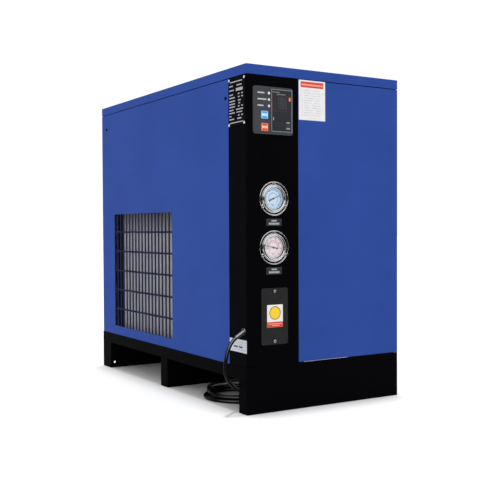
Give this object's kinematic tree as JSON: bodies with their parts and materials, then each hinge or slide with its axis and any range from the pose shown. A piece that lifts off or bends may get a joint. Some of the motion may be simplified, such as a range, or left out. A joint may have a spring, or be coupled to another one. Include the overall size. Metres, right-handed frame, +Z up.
{
  "type": "refrigerated air dryer",
  "caption": "Floor-standing refrigerated compressed-air dryer in a blue and black sheet-steel cabinet with gauges, controller, condenser window and power cord.",
  "frame": {"origin": "bottom centre of the cabinet, on the floor", "axes": "+X towards the cabinet's right side seen from the control face, +Y towards the back, +Z up"},
  "size_m": [0.4911, 0.8564, 0.78],
  "materials": {
    "blue_paint": "satin textured powder coat",
    "black_paint": "satin powder coat",
    "guard_steel": "satin powder coat",
    "galvanised": "galvanised sheet",
    "controller_plastic": "fine texture",
    "window_plastic": "printed gloss film",
    "circuit_board": "solder mask",
    "lamp_lens": "lit lens",
    "button_blue": "translucent",
    "button_red": "translucent",
    "dark_plastic": "moulded",
    "stainless": "polished stainless steel",
    "dial_blue": "printed dial",
    "dial_red": "printed dial",
    "pointer_black": "matt",
    "gauge_glass": "clear",
    "screw_steel": "zinc plated",
    "label_black": "printed plate",
    "label_grey": "printed plate",
    "label_white": "printed film",
    "label_silver": "printed foil",
    "label_yellow": "printed film",
    "cord_rubber": "satin",
    "compressor_paint": "satin enamel",
    "mount_rubber": "matt",
    "fin_aluminium": "rolled foil",
    "copper_tube": "drawn copper",
    "motor_grey": "satin enamel",
    "fan_plastic": "moulded",
    "insulation_foam": "closed-cell foam",
    "separator_aluminium": "cast and machined",
    "brass_fitting": "machined",
    "lever_red": "dipped",
    "terminal_plastic": "moulded"
  },
  "bodies": {
    "cabinet": {"front_skirt": "black_paint", "side_rails": "black_paint", "middle_runner": "black_paint", "rear_runner": "black_paint", "base_tray": "galvanised", "corner_posts": "galvanised", "control_column": "black_paint", "front_panel": "blue_paint", "left_side_panel": "blue_paint", "condenser_guard": "guard_steel", "right_side_panel": "blue_paint", "rear_panel": "blue_paint", "top_cover": "blue_paint", "panel_screws": "black_paint", "controller_housing": "controller_plastic", "controller_window": "window_plastic", "controller_board": "circuit_board", "status_lamps": "lamp_lens", "blanking_plate": "black_paint", "low_pressure_gauge_case": "stainless", "low_pressure_gauge_dial": "dial_blue", "low_pressure_gauge_lens": "gauge_glass", "high_pressure_gauge_case": "stainless", "high_pressure_gauge_dial": "dial_red", "high_pressure_gauge_lens": "gauge_glass", "control_panel_screws": "screw_steel", "terminal_cover": "dark_plastic", "rating_plate": "label_black", "rating_plate_rivets": "stainless", "instruction_label": "label_white", "gauge_labels": "label_grey", "terminal_cover_label": "label_yellow", "side_label": "label_silver", "strain_relief": "cord_rubber", "power_cord": "cord_rubber", "power_cord_coil": "cord_rubber", "plug_body": "cord_rubber", "plug_blades": "brass_fitting", "compressor_shell": "compressor_paint", "compressor_mounts": "mount_rubber", "condenser_core": "fin_aluminium", "condenser_tubes": "copper_tube", "fan_shroud": "black_paint", "fan_motor": "motor_grey", "heat_exchanger": "insulation_foam", "moisture_separator": "separator_aluminium", "automatic_drain": "brass_fitting", "drain_valve_body": "brass_fitting", "air_inlet_pipe": "brass_fitting", "air_outlet_pipe": "brass_fitting", "refrigerant_lines": "copper_tube", "filter_drier": "copper_tube", "contactor": "terminal_plastic", "terminal_block": "terminal_plastic"},
    "fan": {"fan_rotor": "fan_plastic"},
    "start_button": {"start_button": "button_blue"},
    "stop_button": {"stop_button": "button_red"},
    "low_pressure_pointer": {"low_pressure_gauge_pointer": "pointer_black"},
    "high_pressure_pointer": {"high_pressure_gauge_pointer": "pointer_black"},
    "drain_lever": {"drain_valve_lever": "lever_red"}
  },
  "joints": [
    {"name": "fan_spin", "type": "hinge", "parent": "cabinet", "child": "fan", "pos_m": [-0.11, 0.12, 0.298], "axis": [1, 0, 0], "continuous": true},
    {"name": "start_button_press", "type": "slide", "parent": "cabinet", "child": "start_button", "axis": [0, 1, 0], "range_m": [0, 0.0015], "stiffness_N_per_m": 1500},
    {"name": "stop_button_press", "type": "slide", "parent": "cabinet", "child": "stop_button", "axis": [0, 1, 0], "range_m": [0, 0.0015], "stiffness_N_per_m": 1500},
    {"name": "low_pressure_pointer", "type": "hinge", "parent": "cabinet", "child": "low_pressure_pointer", "pos_m": [-0.148, -0.42, 0.483], "axis": [0, 1, 0], "range_deg": [-202, 68], "stiffness_Nm_per_rad": 0.0005},
    {"name": "high_pressure_pointer", "type": "hinge", "parent": "cabinet", "child": "high_pressure_pointer", "pos_m": [-0.148, -0.42, 0.373], "axis": [0, 1, 0], "range_deg": [-57, 213], "stiffness_Nm_per_rad": 0.0005},
    {"name": "drain_lever", "type": "hinge", "parent": "cabinet", "child": "drain_lever", "pos_m": [-0.005, 0.384, 0.178], "axis": [0, 0, 1], "range_deg": [0, 90]}
  ]
}
